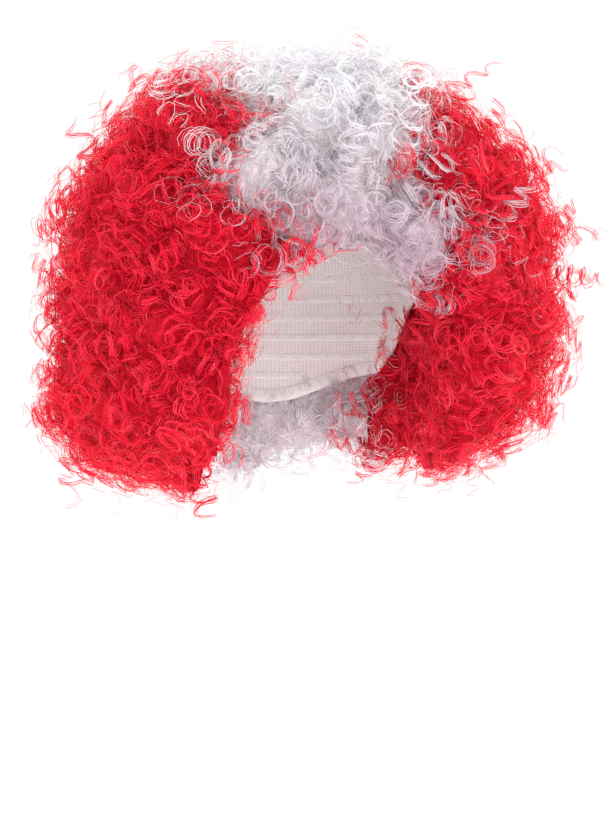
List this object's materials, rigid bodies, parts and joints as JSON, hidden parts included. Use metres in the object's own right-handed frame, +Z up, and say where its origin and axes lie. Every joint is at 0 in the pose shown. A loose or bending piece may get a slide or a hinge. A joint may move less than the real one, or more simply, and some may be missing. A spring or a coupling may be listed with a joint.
{
  "type": "wig",
  "caption": "Big rounded wig of tight synthetic curls, with a white stripe from fringe to nape between red sides, sewn on a thin stretch cap with an open face and an open head hollow.",
  "frame": {"origin": "inside of the cap's crown, where the wig sits on the top of the head", "axes": "+Z up, -Y the way the wearer faces, +X to the wearer's left"},
  "size_m": [0.3441, 0.2885, 0.2918],
  "materials": {
    "cap": "thin off-white stretch knit with rows of sewn hair",
    "hair_white": "glossy white synthetic fibre in tight curls",
    "hair_red": "glossy red synthetic fibre in tight curls"
  },
  "bodies": {
    "root": {"cap": "cap", "hair_white": "hair_white", "hair_red_right": "hair_red", "hair_red_left": "hair_red"}
  },
  "joints": []
}
